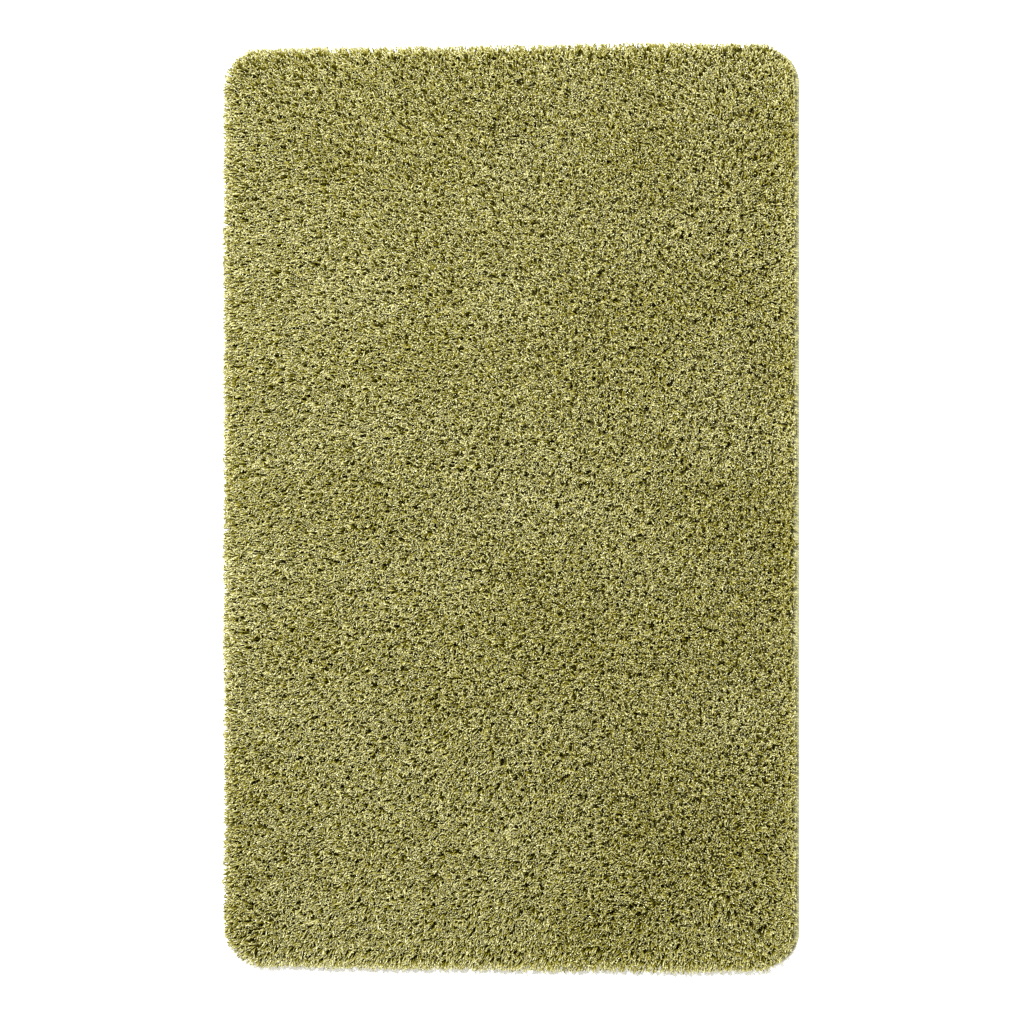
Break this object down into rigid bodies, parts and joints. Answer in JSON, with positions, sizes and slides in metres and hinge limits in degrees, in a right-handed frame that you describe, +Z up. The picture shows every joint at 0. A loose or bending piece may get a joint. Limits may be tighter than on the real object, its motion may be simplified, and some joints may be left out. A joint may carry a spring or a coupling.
{
  "type": "bath mat",
  "caption": "Rectangular tufted bath mat with a deep cut pile, rounded corners, an overlocked yarn edge and a dotted non-slip back.",
  "frame": {"origin": "middle of the underside, on the plane of the grip dots' lowest faces", "axes": "+X across the mat, +Y along its length, +Z up through the pile"},
  "size_m": [0.5, 0.8, 0.0244],
  "materials": {
    "pile_yarn": "twisted polyester pile yarn, olive green, soft satin sheen, cut ends",
    "edge_yarn": "twisted overlock yarn in a slightly paler olive green, ribbed across the edge",
    "sewing_thread": "fine twisted sewing thread, pale olive",
    "woven_cloth": "plain woven tape-yarn cloth, natural beige",
    "latex": "dull cream latex coat",
    "grip_rubber": "matt cream non-slip rubber with round dots and fine grain",
    "label_tape": "white woven satin tape, blank"
  },
  "bodies": {
    "root": {"pile": "pile_yarn", "primary_backing": "woven_cloth", "tuft_back_stitches": "pile_yarn", "latex_binder": "latex", "anti_slip_backing": "grip_rubber", "binding_upper_yarn": "edge_yarn", "binding_lower_yarn": "edge_yarn", "binding_needle_thread": "sewing_thread", "care_label": "label_tape", "care_label_stitches": "sewing_thread"}
  },
  "joints": []
}
